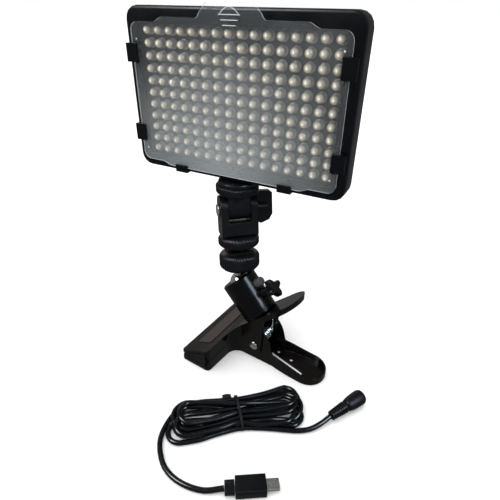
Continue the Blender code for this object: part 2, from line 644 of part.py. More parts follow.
def make_ball_seat(mat):
    """Friction cup between the ball and the socket."""
    inner = BALL_RADIUS + GAP
    cup_points = [(inner * math.sin(math.radians(a)), -inner * math.cos(math.radians(a))) for a in range(15, 91, 15)]
    profile = [(0, -10.2), (8.4, -10.2), (9.2, -9.2), (9.2, 0.0)] + cup_points[::-1] + [(0, -inner)]
    return add_object("ball_seat", lathe(profile, 24), mat, SOCKET_FRAME)


def make_ball_socket(mat):
    base = SOCKET_BASE + GAP
    r = SOCKET_RADIUS
    profile = [(0, base), (r - 0.8, base), (r, base + 0.8), (r, SOCKET_MOUTH - 1.2), (r - 1.2, SOCKET_MOUTH),
               (8.2, SOCKET_MOUTH), (9.5, 0.4), (9.5, -10.5), (0, -10.5)]
    socket = add_object("ball_socket", lathe(profile, 32), mat, SOCKET_FRAME)
    slot = box((-4.2, 2.0, -7.5), (4.2, 20.0, 10.0))
    combine(socket, slot, "DIFFERENCE", SOCKET_FRAME)
    combine(socket, lathe([(0, 5.0), (2.3, 5.0), (2.3, 16.0), (0, 16.0)], 16), "DIFFERENCE", KNOB_FRAME)
    combine(socket, lathe([(0, 5.0), (1.8, 5.0), (1.8, 16.0), (0, 16.0)], 16), "DIFFERENCE", TENSION_FRAME)
    combine(socket, lathe([(0, base - 3), (2.3, base - 3), (2.3, base + 9), (0, base + 9)], 16), "DIFFERENCE",
            SOCKET_FRAME)
    return socket


def make_wing_knob(mat):
    """Clamping screw with a four-lobed head on a round neck."""
    steps = 40
    turn = math.radians(12.0)
    outline = []
    for k in range(steps):
        a = math.tau * k / steps
        r = 5.6 + 1.9 * math.cos(4 * a)
        outline.append((r * math.cos(a + turn), r * math.sin(a + turn)))
    head = SOCKET_RADIUS + 8.6
    small = [(0.86 * u, 0.86 * v) for u, v in outline]
    levels = ((small, head), (outline, head + 0.9), (outline, head + 4.6), (small, head + 5.6))
    knob = add_object("wing_knob", loft([[(u, v, h) for u, v in shape] for shape, h in levels]), mat, KNOB_FRAME)
    neck = [(0, SOCKET_RADIUS - 2.4), (2.0, SOCKET_RADIUS - 2.4), (2.0, SOCKET_RADIUS + GAP), (3.5, SOCKET_RADIUS + GAP),
            (3.3, head + 2.0), (0, head + 2.0)]
    combine(knob, lathe(neck, 20), "UNION", KNOB_FRAME)
    return knob


def make_tension_screw(mat):
    """Set screw beside the knob that takes up play between the ball and its seat."""
    profile = [(0, SOCKET_RADIUS - 2.4), (1.5, SOCKET_RADIUS - 2.4), (1.5, SOCKET_RADIUS + GAP), (3.2, SOCKET_RADIUS + GAP),
               (3.2, SOCKET_RADIUS + 5.4), (2.7, SOCKET_RADIUS + 6.0), (0, SOCKET_RADIUS + 6.0)]
    return add_object("tension_screw", lathe(profile, 20), mat, TENSION_FRAME)


def make_socket_screw(mat):
    """Screw from under the upper plate into the foot of the socket."""
    under = SOCKET_BASE - SHEET - GAP
    profile = [(0, under - 2.4), (3.6, under - 2.4), (4.4, under - 1.6), (4.4, under), (2.0, under), (2.0, under + 8.0),
               (0, under + 8.0)]
    return add_object("socket_screw", lathe(profile, 20), mat, SOCKET_FRAME)


# ---------------------------------------------------------------- spring clamp

def upper_top(x):
    if x <= JAW_REAR:
        return JAW_FRONT_TOP + (x - JAW_FRONT) * (JAW_REAR_TOP - JAW_FRONT_TOP) / (JAW_REAR - JAW_FRONT)
    return JAW_REAR_TOP + (x - JAW_REAR) * math.tan(HANDLE_SLOPE)


def contact(x):
    """Height of the plane where the two pads meet; it runs through the pivot."""
    return CONTACT_FRONT_Z + (x - JAW_FRONT) * (PIVOT[1] - CONTACT_FRONT_Z) / (PIVOT[0] - JAW_FRONT)


def between(x, table):
    """Straight-line interpolation in a table of (x, value) rows."""
    if x <= table[0][0]:
        return table[0][1]
    for (x0, v0), (x1, v1) in zip(table, table[1:]):
        if x <= x1:
            return v0 + (v1 - v0) * (x - x0) / (x1 - x0)
    return table[-1][1]


def jaw_outline(half_w, tip_x, tip_radius):
    """Half of the T-shaped plan from the front edge round the wing and along the handle to its tip."""
    corner, fillet = 3.0, 9.0
    points = [(JAW_FRONT, JAW_HALF_W - corner)]
    points += arc(JAW_FRONT + corner, JAW_HALF_W - corner, corner, 180, 90, 3)[1:]
    points += arc(JAW_REAR - corner, JAW_HALF_W - corner, corner, 90, 0, 3)
    points += arc(JAW_REAR + 0.7 + fillet, half_w + fillet, fillet, 180, 270, 6)
    points += [(x, half_w) for x in (20.0, 22.0, 26.0, 31.0, 33.0, 35.4, 37.5, 40.0, 42.6)]
    centre = tip_x - tip_radius
    start = 42.6
    widen = [(start + (centre - start) * t, tip_radius - (tip_radius - half_w) * (1.0 - t) ** 2) for t in (0.3, 0.65)]
    return points + widen + arc(centre, 0.0, tip_radius, 90, 8, 9)


def inset_outline(points, distance):
    """Moves each point of a half outline inwards along the normal there."""
    moved = []
    for k, (x, w) in enumerate(points):
        x0, w0 = points[max(k - 1, 0)]
        x1, w1 = points[min(k + 1, len(points) - 1)]
        dx, dw = x1 - x0, w1 - w0
        size = math.hypot(dx, dw)
        if k == 0:
            moved.append((x, w - distance))
        else:
            moved.append((x + distance * dw / size, w - distance * dx / size))
    return moved


def channel(outline, plate_out, plate_in, edge):
    """Sheet-metal channel with a plate and a skirt; the functions give heights along the handle."""
    inner = inset_outline(outline, SHEET)
    sections = []
    for (x, w), (xi, wi) in zip(outline, inner):
        rim, top, under = edge(x), plate_out(x), plate_in(xi)
        sections.append([(x, -w, rim), (x, -w, top), (x, w, top), (x, w, rim),
                         (xi, wi, rim), (xi, wi, under), (xi, -wi, under), (xi, -wi, rim)])
    bm = bmesh.new()
    loops = [[bm.verts.new(p) for p in section] for section in sections]
    for a, b in zip(loops, loops[1:]):
        for i in range(8):
            j = (i + 1) % 8
            bm.faces.new((a[i], a[j], b[j], b[i]))
    front, tip = loops[0], loops[-1]
    for corners in ((0, 1, 6, 7), (1, 2, 5, 6), (2, 3, 4, 5)):
        bm.faces.new([front[k] for k in corners])
    for corners in ((0, 1, 2, 3), (4, 5, 6, 7), (0, 3, 4, 7)):
        bm.faces.new([tip[k] for k in corners])
    return bm


def pivot_hole():
    return cylinder_along_y(PIN_RADIUS + GAP, -20, 20, 0, 0, 20)


def make_upper_jaw(mat):
    outline = jaw_outline(UPPER_HALF_W, UPPER_TIP, 12.4)
    lip = 2.4
    below = [(JAW_FRONT, upper_top(JAW_FRONT) - lip), (4.5, upper_top(4.5) - lip), (7.2, contact(7.2) + GAP),
             (12.0, contact(12.0) + GAP), (20.0, 8.0), (23.0, 6.6), (31.0, 6.6), (33.2, 9.0),
             (35.4, upper_top(35.4) - 5.4), (60.0, upper_top(60.0) - 5.4)]
    slant = SHEET / math.cos(HANDLE_SLOPE)
    plate = channel(outline, upper_top, lambda x: upper_top(x) - slant, lambda x: between(x, below))
    jaw = add_object("upper_jaw", plate, mat, CLAMP_FRAME)
    jaw.matrix_world = in_metres(PIVOT_FRAME)
    jaw.data.transform(in_metres(PIVOT_FRAME).inverted() @ in_metres(CLAMP_FRAME))
    combine(jaw, pivot_hole(), "DIFFERENCE", PIVOT_FRAME)
    combine(jaw, lathe([(0, SOCKET_BASE - 6), (2.4, SOCKET_BASE - 6), (2.4, SOCKET_BASE + 6), (0, SOCKET_BASE + 6)], 16),
            "DIFFERENCE", SOCKET_FRAME)
    return jaw


def make_lower_jaw(mat):
    outline = jaw_outline(LOWER_HALF_W, LOWER_TIP, 12.6)
    rim = [(JAW_FRONT, 2.4), (4.5, 2.4), (7.2, contact(7.2) - GAP), (15.0, contact(15.0) - GAP), (20.0, 18.0),
           (22.0, 21.5), (26.0, 26.0), (31.0, 28.0), (33.0, 28.2), (35.4, 27.0), (37.5, 24.5), (40.0, 20.0),
           (42.6, 10.4), (62.0, 6.4), (LOWER_TIP, 5.4)]
    tray = channel(outline, lambda x: 0.0, lambda x: SHEET, lambda x: between(x, rim))
    jaw = add_object("lower_jaw", tray, mat, CLAMP_FRAME)
    combine(jaw, pivot_hole(), "DIFFERENCE", PIVOT_FRAME)
    slit = prism([(31.8, 0.4), (65.4, -6.3), (65.0, -4.1), (33.0, 2.6)], -2.0, 2.0)
    combine(jaw, slit, "DIFFERENCE", CLAMP_FRAME)
    for x, y in ((40.4, 4.6), (52.5, 2.4)):
        combine(jaw, lathe([(0, -2), (1.3, -2), (1.3, 2), (0, 2)], 12), "DIFFERENCE",
                CLAMP_FRAME @ Matrix.Translation((x, y, 0)))
    return jaw


def make_pads(mat):
    """Ribbed rubber pads bonded inside the jaws, meeting on the contact plane."""
    front, rear = JAW_FRONT + 1.5, JAW_REAR - SHEET - 1.4
    teeth = 8
    pitch = (rear - front) / teeth
    upper, lower = [], []
    for k in range(teeth):
        x = front + k * pitch
        for dx, depth in ((0.0, 0.0), (0.6, 0.0), (0.75, 0.6), (0.95, 0.6)):
            u = x + dx * pitch
            upper.append((u, contact(u) + GAP / 2 + depth))
            lower.append((u, contact(u) - GAP / 2 - depth))
    slant = SHEET / math.cos(HANDLE_SLOPE) + GAP
    upper += [(rear, contact(rear) + GAP / 2), (rear, upper_top(rear) - slant), (front, upper_top(front) - slant)]
    lower += [(rear, contact(rear) - GAP / 2), (rear, SHEET + GAP), (front, SHEET + GAP)]
    reach = JAW_HALF_W - SHEET - 1.6
    rims = {"upper_pad": (upper_top(rear) - 3.8, upper_top(front) - 3.6), "lower_pad": (2.7, 2.7)}
    for name, outline in (("upper_pad", upper), ("lower_pad", lower)):
        ends = outline[:-2] + [(rear, rims[name][0]), (front, rims[name][1])]
        ends = [(front + 0.96 * (x - front), z) for x, z in ends]
        levels = ((-reach - 2.3, ends), (-reach - 0.3, ends), (-reach, outline), (reach, outline),
                  (reach + 0.3, ends), (reach + 2.3, ends))
        add_object(name, loft([[(x, y, z) for x, z in shape] for y, shape in levels]), mat, CLAMP_FRAME)


def make_pivot_pin(mat):
    head = UPPER_HALF_W + GAP
    profile = [(0, -head - 1.5), (2.2, -head - 1.2), (3.4, -head - 0.3), (3.4, -head), (PIN_RADIUS, -head),
               (PIN_RADIUS, head), (3.4, head), (3.4, head + 0.3), (2.2, head + 1.2), (0, head + 1.5)]
    axis = frame(PIVOT_FRAME.translation, CLAMP_X, CLAMP_Y)
    return add_object("pivot_pin", lathe(profile, 20), mat, axis)


def make_torsion_spring(mat):
    """Coil on the pivot pin with one leg under the upper handle and one on the lower plate."""
    mean, wire, turns, steps = 4.3, 0.8, 6, 10
    half = 7.8
    path = [Vector((21.0, -half, 1.2 + wire + 0.3 - PIVOT[1])), Vector((10.0, -half, -8.0)), Vector((4.0, -half, -5.6))]
    start = math.radians(-75)
    end = start + math.tau * turns
    total = turns * steps
    for k in range(total - 2):
        a = start - (end - start) * k / total
        y = -half + 2 * half * k / total
        path.append(Vector((mean * math.cos(a), y, mean * math.sin(a))))
    last = path[-1]
    under = PIVOT_FRAME.inverted() @ (PLATE_POINT + SLOPE_X * 30.0 - SLOPE_UP * (SHEET + wire + 0.6))
    path += [last + Vector((0.4, 0.15, 2.4)), Vector((under.x, half, under.z))]
    return add_object("torsion_spring", sweep(path, wire, 5), mat, PIVOT_FRAME)


# ---------------------------------------------------------------- power lead

def make_hank(mat):
    """Folded turns of the lead as one solid, drawn in at the middle, with a ridge for each strand on top."""
    rings = []
    last = len(HANK_HALF_WIDTHS) - 1
    for k, (x, w) in enumerate(HANK_HALF_WIDTHS):
        height = HANK_HEIGHT * min(1.0, 0.5 + 0.2 * min(k, last - k))
        ring = [(x, -w, 1.2), (x, -0.9 * w, 0.0), (x, 0.9 * w, 0.0), (x, w, 1.2)]
        for step in range(2 * HANK_STRANDS + 1):
            side = 1.0 - step / HANK_STRANDS
            groove = 0.0 if step % 2 else 0.9
            ring.append((x, w * side, height * (1.0 - 0.45 * side ** 4) - groove))
        rings.append(ring)
    return add_object("lead_hank", loft(rings), mat, HANK_FRAME)


def make_cord(name, points, mat):
    curve = bpy.data.curves.new(name, "CURVE")
    curve.dimensions = "3D"
    curve.bevel_depth = CORD_RADIUS * MM
    curve.bevel_resolution = 2
    curve.use_fill_caps = True
    path = smooth_path(points, 3)
    spline = curve.splines.new("POLY")
    spline.points.add(len(path) - 1)
    for target, point in zip(spline.points, path):
        target.co = (*(point * MM), 1.0)
    obj = bpy.data.objects.new(name, curve)
    bpy.context.scene.collection.objects.link(obj)
    curve.materials.append(mat)
    return obj


def make_lead(mats):
    make_hank(mats["cord"])
    usb_points = [(x, y, CORD_RADIUS + 0.02) for x, y in USB_TAIL[:-2]] + [(*USB_TAIL[-2], CORD_RADIUS + 0.35)]
    make_cord("lead_usb_tail", usb_points + [(*USB_TAIL[-1], 3.0)], mats["cord"])
    make_cord("lead_dc_tail", DC_TAIL, mats["cord"])

    direction = Vector((0.852, 0.524, 0.0))
    start = Vector((*USB_TAIL[-1], 3.3)) + direction * GAP
    place = frame(start, (0, 0, 1), direction)
    relief = rounded_rectangle(4.8, 8.0, 1.6, 2)
    add_object("usb_strain_relief", prism(relief, 0.0, 5.6), mats["cord"], place)
    body = rounded_rectangle(6.4, 11.0, 1.4, 3)
    add_object("usb_plug_body", prism(body, 5.9, 23.2), mats["plastic"], place)
    tip = rounded_rectangle(2.0, 6.8, 0.6, 2)
    add_object("usb_plug_tip", prism(tip, 23.5, 30.6), mats["steel"], place)

    a, b = Vector(DC_START), Vector(DC_END)
    place = frame(a, (0, 0, 1), b - a)
    length = (b - a).length
    profile = [(0, GAP), (2.4, GAP)]
    ribs, relief_length, rib = 6, 13.0, 0.8
    for k in range(ribs):
        h = GAP + 0.8 + k * (relief_length - 0.8) / ribs
        core = 2.4 + 0.9 * k / ribs
        profile += [(core, h), (core + rib, h + 0.3), (core + rib, h + 1.1), (core, h + 1.4)]
    profile += [(3.4, relief_length + GAP), (0, relief_length + GAP)]
    add_object("dc_strain_relief", lathe(profile, 12), mats["cord"], place)
    s = relief_length + 2 * GAP
    r = DC_PLUG_RADIUS
    head = [(0, s), (r - 1.1, s), (r - 0.3, s + 2.0), (r, s + 6.0), (r, length - 2.0), (r - 0.7, length - 0.6),
            (3.2, length), (2.75, length), (2.75, length - 7.0), (0, length - 7.0)]
    add_object("dc_plug_body", lathe(head, 24), mats["plastic"], place)

    make_tie(mats["rubber"])


def make_tie(mat):
    """Band round the middle of the hank, open underneath where the hank lies on the table."""
    half_w, top = between(0.0, HANK_HALF_WIDTHS) + GAP, HANK_HEIGHT + GAP
    band = 1.1
    outline = [(-half_w - band, 0.3), (-half_w - band, top + band), (half_w + band, top + band), (half_w + band, 0.3),
               (half_w, 0.3), (half_w, top), (-half_w, top), (-half_w, 0.3)]
    tie = add_object("lead_tie", prism(outline, -1.4, 1.4, "X"), mat, HANK_FRAME)
    combine(tie, box((-2.6, 5.0, top + 0.4), (2.6, 9.8, top + 3.6)), "UNION", HANK_FRAME)
    return tie


# ---------------------------------------------------------------- assembly

def clear_scene():
    for obj in list(bpy.data.objects):
        bpy.data.objects.remove(obj, do_unlink=True)


def build():
    clear_scene()
    mats = {
        "housing": material("housing", (0.020, 0.021, 0.023), 0.32),
        "plastic": material("plastic", (0.022, 0.022, 0.024), 0.42),
        "silver_plastic": material("silver_plastic", (0.45, 0.45, 0.46), 0.35),
        "lens": material("indicator_lens", (0.30, 0.30, 0.32), 0.25),
        "brass": material("brass", (0.65, 0.50, 0.22), 0.35, 1.0),
        "black_screw": material("black_screw", (0.03, 0.03, 0.03), 0.4, 1.0),
        "led": material("led_board", (0.62, 0.60, 0.52), 0.25),
        "diffuser": material("diffuser", (0.80, 0.83, 0.86), 0.15, 0.0, 0.35),
        "board": material("driver_board", (0.02, 0.12, 0.06), 0.5),
        "mount": material("mount_plastic", (0.018, 0.019, 0.022), 0.45),
        "chrome": material("chrome", (0.75, 0.74, 0.72), 0.18, 1.0),
        "socket": material("socket_paint", (0.012, 0.012, 0.013), 0.22),
        "clamp": material("clamp_paint", (0.010, 0.010, 0.011), 0.16),
        "rubber": material("rubber", (0.020, 0.020, 0.020), 0.75),
        "seat": material("nylon", (0.55, 0.54, 0.50), 0.5),
        "zinc": material("zinc", (0.72, 0.74, 0.74), 0.28, 1.0),
        "steel": material("steel", (0.70, 0.70, 0.70), 0.25, 1.0),
        "cord": material("cord", (0.016, 0.016, 0.017), 0.38),
    }
    make_front_bezel(mats["housing"])
    make_rear_cover(mats["housing"])
    make_led_board(mats["led"])
    make_diffuser(mats["diffuser"])
    make_driver_board(mats["board"])
    make_battery_rail(mats["plastic"])
    make_battery_contacts(mats["plastic"])
    make_release_button(mats["plastic"])
    make_rear_controls(mats)
    make_head_ring(mats["mount"])
    make_tilt_knuckle(mats["mount"])
    make_tilt_body(mats["mount"])
    make_tilt_bolt(mats["steel"])
    make_tilt_lever(mats["mount"])
    make_shoe_ring(mats["mount"])
    make_shoe_foot(mats["mount"])
    make_stem_wheel(mats["mount"])
    make_ball_stem(mats["chrome"])
    make_ball_seat(mats["seat"])
    make_ball_socket(mats["socket"])
    make_wing_knob(mats["plastic"])
    make_tension_screw(mats["zinc"])
    make_socket_screw(mats["zinc"])
    make_upper_jaw(mats["clamp"])
    make_lower_jaw(mats["clamp"])
    make_pads(mats["rubber"])
    make_pivot_pin(mats["steel"])
    make_torsion_spring(mats["zinc"])
    make_lead(mats)


build()
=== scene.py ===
import json
import math

import bmesh
import bpy
import numpy as np
from mathutils import Matrix, Vector


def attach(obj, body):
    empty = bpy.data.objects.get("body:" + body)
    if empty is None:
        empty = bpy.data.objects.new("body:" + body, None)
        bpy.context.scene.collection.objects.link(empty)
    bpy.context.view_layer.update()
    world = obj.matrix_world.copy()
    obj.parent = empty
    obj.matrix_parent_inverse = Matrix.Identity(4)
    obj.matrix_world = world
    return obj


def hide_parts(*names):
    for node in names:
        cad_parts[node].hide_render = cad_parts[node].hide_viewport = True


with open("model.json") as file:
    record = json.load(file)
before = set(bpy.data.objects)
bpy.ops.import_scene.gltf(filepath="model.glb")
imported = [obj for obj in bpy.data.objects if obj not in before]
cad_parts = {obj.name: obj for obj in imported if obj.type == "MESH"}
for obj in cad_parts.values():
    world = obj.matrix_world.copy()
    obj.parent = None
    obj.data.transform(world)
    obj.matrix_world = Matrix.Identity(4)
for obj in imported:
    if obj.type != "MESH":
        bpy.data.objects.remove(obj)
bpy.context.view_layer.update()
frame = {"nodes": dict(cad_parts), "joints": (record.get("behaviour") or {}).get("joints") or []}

# Lengths below are millimetres, in the frame of the part; meshes are written in metres.
MM = 0.001

# Camera
CAMERA_PLACE = (123.4, -229.2, 233.5)
CAMERA_RIGHT = (0.8895, 0.457, 0.013)
CAMERA_DOWN = (0.2462, -0.454, -0.856)
CAMERA_LENS = 29.67

# Panel
PANEL_CENTRE_Z = 182.5
LED_COLUMNS, LED_ROWS = 16, 11
LED_PITCH_X, LED_PITCH_Z = 8.0, 7.16
LED_RADIUS = 2.5
LED_TIP_Y, BOARD_FRONT_Y = -9.9, -3.6
BOARD_HALF = (70.0, 40.6)
BOARD_THICK = 1.6
DIFFUSER_FRONT, DIFFUSER_BACK = -13.3, -12.3
# Centre and reach of a painted glow that makes the acrylic paler and more opaque near the middle of its lower
# edge.
PAINTED_GLOW_CENTRE, PAINTED_GLOW_REACH = (-10.2, PANEL_CENTRE_Z - 40.0), (85.0, 75.0)

# Light: brightness of the white surround where it is seen, where it fills shadows and where it is mirrored
SKY_SEEN, SKY_FILL, SKY_MIRRORED = 1.0, 1.0, 0.2
LIGHT_TARGET = (20, -20, 110)

# Lead: its route lies on the table, and the hank has its own frame, u along the turns and v across them
CORD_RADIUS = 1.6
CORD_LAYER = 2 * CORD_RADIUS
HANK_CENTRE = Vector((38.5, -74.2, 0.0))
HANK_AZIMUTH = math.radians(35.0)
HANK_LEFT, HANK_RIGHT = -32.5, 31.0
# Each U-turn: end of the hank, v of its centre, its radius, its layer, and how far it is shifted along u
HANK_TURNS = (
    ("right", -5.6, 7.6, 0, 0.5), ("left", 1.4, 7.6, 1, 0.6), ("right", 7.0, 7.6, 0, 2.6),
    ("left", -3.6, 7.6, 0, -1.6), ("right", 0.4, 9.8, 1, 1.0), ("left", -0.9, 9.2, 1, 0.5),
    ("right", -0.2, 7.4, 2, -1.0), ("left", -6.6, 7.5, 2, -0.4), ("right", -4.4, 7.6, 2, -1.2),
    ("left", -0.6, 7.5, 3, 1.6), ("right", 4.4, 7.7, 3, 0.8),
)
USB_TAIL = ((6.7, -113.7), (14.3, -123.1), (22.9, -128.0), (33.4, -129.4), (45.2, -127.2))
USB_END = (55.2, -121.5, 3.0)
DC_TAIL = ((93.2, -50.8, 4.5), (89.4, -57.4, 3.4), (84.3, -63.6, 2.3), (77.4, -68.2, 1.75),
           (70.7, -71.0, 1.62))
DC_START, DC_END = (93.4, -50.4, 4.6), (107.5, -25.5, 5.5)

# Thumb wheels under the panel and on the ball's stem
RIM_RADIUS = 14.4
# Name, CAD node, body, teeth, tooth depth, bore radius, heights of both faces, then the rows above the lower
# face and below the upper one: radius beyond the rim's, distance from the face, and 1 where it is toothed
WHEELS = (
    ("shoe_lock_wheel", "shoe_lock_ring", "shoe_ring", 44, 0.5, 6.3, (29.44, 37.14),
     ((-2.0, 0.0, 0), (-1.2, 0.4, 0), (-0.3, 1.3, 1), (0.0, 1.9, 1)),
     ((0.0, 2.2, 1), (-0.3, 1.6, 1), (-1.4, 0.5, 0), (-2.4, 0.0, 0))),
    ("stem_wheel_knurled", "stem_lock_wheel", "stem_wheel", 48, 0.45, 3.3, (11.74, 23.84),
     ((-3.0, 0.0, 0), (-2.0, 0.5, 0), (-0.5, 2.2, 1), (0.0, 3.0, 1)),
     ((0.0, 2.4, 1), (-0.4, 1.5, 1), (-1.4, 0.4, 0), (-2.2, 0.0, 0))),
    ("head_lock_wheel", "head_lock_ring", "head_ring", 52, 0.45, 3.3, (124.5, 133.4),
     ((-2.0, 0.0, 0), (-1.3, 0.4, 0), (-0.3, 1.0, 1), (0.0, 1.5, 1)),
     ((0.0, 3.9, 1), (-0.3, 3.3, 1), (-1.1, 2.9, 0), (-1.8, 2.8, 0), (-1.8, 0.7, 0), (-2.1, 0.15, 0),
      (-2.5, 0.0, 0))),
)

# Clamp: the pivot and the ends of the upper jaw's sloping plate, as (x, z) in the clamp's frame
CLAMP_PIVOT = (27.5, 14.0)
PLATE_FRONT, PLATE_REAR = (-18.0, 8.0), (7.5, 20.0)


# ---------------------------------------------------------------- frames and meshes

def frame_at(origin, x_axis, z_axis):
    """Right-handed frame with the given origin, its Z along z_axis and its X near x_axis."""
    z = Vector(z_axis).normalized()
    y = z.cross(Vector(x_axis)).normalized()
    rows = Matrix((y.cross(z), y, z)).transposed().to_4x4()
    return Matrix.Translation(Vector(origin)) @ rows


def joint(name):
    """(position in millimetres, axis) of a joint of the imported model."""
    found = next(j for j in frame["joints"] if j["name"] == name)
    return Vector(found["pos_m"]) / MM, Vector(found["axis"])


def add_piece(name, builder, body, mats, place=Matrix.Identity(4), replaces=(), smooth=35.0):
    """Makes a mesh piece from a bmesh in millimetres, held in the frame place, and lets it ride on a body."""
    bmesh.ops.recalc_face_normals(builder, faces=builder.faces)
    builder.transform(Matrix.Scale(MM, 4) @ place)
    mesh = bpy.data.meshes.new(name)
    builder.to_mesh(mesh)
    builder.free()
    mesh.shade_smooth()
    mesh.set_sharp_from_angle(angle=math.radians(smooth))
    piece = bpy.data.objects.new(name, mesh)
    bpy.context.scene.collection.objects.link(piece)
    for mat in mats:
        mesh.materials.append(mat)
    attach(piece, body)
    if replaces:
        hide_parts(*replaces)
    return piece


def soften(piece, width):
    """Rounds the edges of a piece."""
    bevel = piece.modifiers.new("Rounded edges", "BEVEL")
    bevel.width = width * MM
    bevel.segments = 2
    bevel.limit_method = "ANGLE"
    bevel.angle_limit = math.radians(32)
    normals = piece.modifiers.new("Normals", "WEIGHTED_NORMAL")
    normals.keep_sharp = False


def loft(rings, closed=False, bm=None, caps=True):
    """Joins rings of equally many points with faces; closed joins the last ring to the first."""
    bm = bm or bmesh.new()
    loops = [[bm.verts.new(point) for point in ring] for ring in rings]
    pairs = list(zip(loops, loops[1:]))
    if closed:
        pairs.append((loops[-1], loops[0]))
    for lower, upper in pairs:
        for i in range(len(lower)):
            j = (i + 1) % len(lower)
            bm.faces.new((lower[i], lower[j], upper[j], upper[i]))
    if caps and not closed:
        bm.faces.new(loops[0])
        bm.faces.new(loops[-1])
    return bm


def circle(radius, height, segments):
    """Points of a level ring round Z."""
    angles = [math.tau * k / segments for k in range(segments)]
    return [(radius * math.cos(a), radius * math.sin(a), height) for a in angles]


def lathe(profile, segments):
    """Turns (radius, height) points about Z, with a flat cap at each end."""
    return loft([circle(max(r, 0.02), h, segments) for r, h in profile])


def tube(path, radius, sides, bm=None):
    """A round bar along a path of points."""
    rings = []
    normal = (path[1] - path[0]).normalized().orthogonal()
    for k, point in enumerate(path):
        tangent = (path[min(k + 1, len(path) - 1)] - path[max(k - 1, 0)]).normalized()
        normal = (normal - tangent * normal.dot(tangent)).normalized()
        side = tangent.cross(normal)
        angles = [math.tau * s / sides for s in range(sides)]
        rings.append([point + radius * (normal * math.cos(a) + side * math.sin(a)) for a in angles])
    return loft(rings, bm=bm)


def smooth_path(points, per_span):
    """Catmull-Rom curve through the points."""
    pts = [Vector(p) for p in points]
    pts = [2 * pts[0] - pts[1]] + pts + [2 * pts[-1] - pts[-2]]
    path = []
    for a, b, c, d in zip(pts, pts[1:], pts[2:], pts[3:]):
        for k in range(per_span):
            t = k / per_span
            path.append(0.5 * (2 * b + (c - a) * t + (2 * a - 5 * b + 4 * c - d) * t ** 2
                               + (3 * b - a - 3 * c + d) * t ** 3))
    path.append(pts[-2])
    return path


def arc(cx, cy, radius, start, end, steps):
    """Flat points on a circle between two angles in degrees."""
    angles = [math.radians(start + (end - start) * k / steps) for k in range(steps + 1)]
    return [(cx + radius * math.cos(a), cy + radius * math.sin(a)) for a in angles]


# ---------------------------------------------------------------- materials

def calculate(tree, operation, *values):
    """Output of a Math node that is fed with numbers and other nodes' outputs."""
    node = tree.nodes.new("ShaderNodeMath")
    node.operation = operation
    for socket, value in zip(node.inputs, values):
        if isinstance(value, (int, float)):
            socket.default_value = value
        else:
            tree.links.new(value, socket)
    return node.outputs[0]


def remap(tree, value, source, target):
    """Carries a value from the source range over to the target range."""
    node = tree.nodes.new("ShaderNodeMapRange")
    node.inputs["From Min"].default_value, node.inputs["From Max"].default_value = source
    node.inputs["To Min"].default_value, node.inputs["To Max"].default_value = target
    tree.links.new(value, node.inputs["Value"])
    return node.outputs["Result"]


def noise(tree, place, name, scale, detail):
    """Output of a named noise texture."""
    node = tree.nodes.new("ShaderNodeTexNoise")
    node.name = name
    node.inputs["Scale"].default_value = scale
    node.inputs["Detail"].default_value = detail
    tree.links.new(place, node.inputs["Vector"])
    return node.outputs["Fac"]


def surface(name, colour, rough, metal=0.0, vary=0.18, grain=2500.0, bump=0.03, patch=60.0, spec=0.2,
            coat=0.0):
    """Painted, moulded or plated surface: mottled colour, uneven gloss and a fine grain."""
    mat = bpy.data.materials.new(name)
    mat.use_nodes = True
    tree = mat.node_tree
    shader = tree.nodes["Principled BSDF"]
    shader.inputs["Metallic"].default_value = metal
    shader.inputs["Specular IOR Level"].default_value = spec
    shader.inputs["Coat Weight"].default_value = coat
    shader.inputs["Coat Roughness"].default_value = 0.08
    place = tree.nodes.new("ShaderNodeTexCoord")
    place.name = "place"
    mottle = noise(tree, place.outputs["Object"], "mottle", patch, 5.0)
    tint = tree.nodes.new("ShaderNodeMix")
    tint.data_type = "RGBA"
    tint.inputs["A"].default_value = (*[c * (1 - vary) for c in colour], 1.0)
    tint.inputs["B"].default_value = (*[min(1.0, c * (1 + vary)) for c in colour], 1.0)
    tree.links.new(mottle, tint.inputs["Factor"])
    tree.links.new(tint.outputs["Result"], shader.inputs["Base Color"])
    gloss = remap(tree, mottle, (0.3, 0.7), (rough * 0.75, rough * 1.25))
    tree.links.new(gloss, shader.inputs["Roughness"])
    relief = tree.nodes.new("ShaderNodeBump")
    relief.inputs["Strength"].default_value = bump
    relief.inputs["Distance"].default_value = 0.0002
    tree.links.new(noise(tree, place.outputs["Object"], "grain", grain, 2.0), relief.inputs["Height"])
    tree.links.new(relief.outputs["Normal"], shader.inputs["Normal"])
    return mat


def clear_plastic(name, colour, thin, thick, rough):
    """Clear acrylic with an uneven haze, and a painted pale glow that makes it thickest and palest near the
    middle of the lower edge.
    """
    mat = surface(name, colour, rough, vary=0.05, grain=1500.0, bump=0.01, patch=25.0, spec=0.3)
    tree = mat.node_tree
    spread = tree.nodes.new("ShaderNodeMapping")
    (centre_x, centre_z), (reach_x, reach_z) = PAINTED_GLOW_CENTRE, PAINTED_GLOW_REACH
    spread.inputs["Location"].default_value = (-centre_x / reach_x, 0.0, -centre_z / reach_z)
    spread.inputs["Scale"].default_value = (1 / (reach_x * MM), 0.0, 1 / (reach_z * MM))
    tree.links.new(tree.nodes["place"].outputs["Object"], spread.inputs["Vector"])
    # Painted glow: a round falloff from the lower edge's middle that thickens the pale haze.
    painted_glow = tree.nodes.new("ShaderNodeTexGradient")
    painted_glow.gradient_type = "SPHERICAL"
    tree.links.new(spread.outputs["Vector"], painted_glow.inputs["Vector"])
    total = calculate(tree, "MULTIPLY_ADD", tree.nodes["mottle"].outputs["Fac"], 0.3, painted_glow.outputs["Fac"])
    haze_and_painted_glow = remap(tree, total, (0.15, 1.1), (thin, thick))
    tree.links.new(haze_and_painted_glow, tree.nodes["Principled BSDF"].inputs["Alpha"])
    return mat


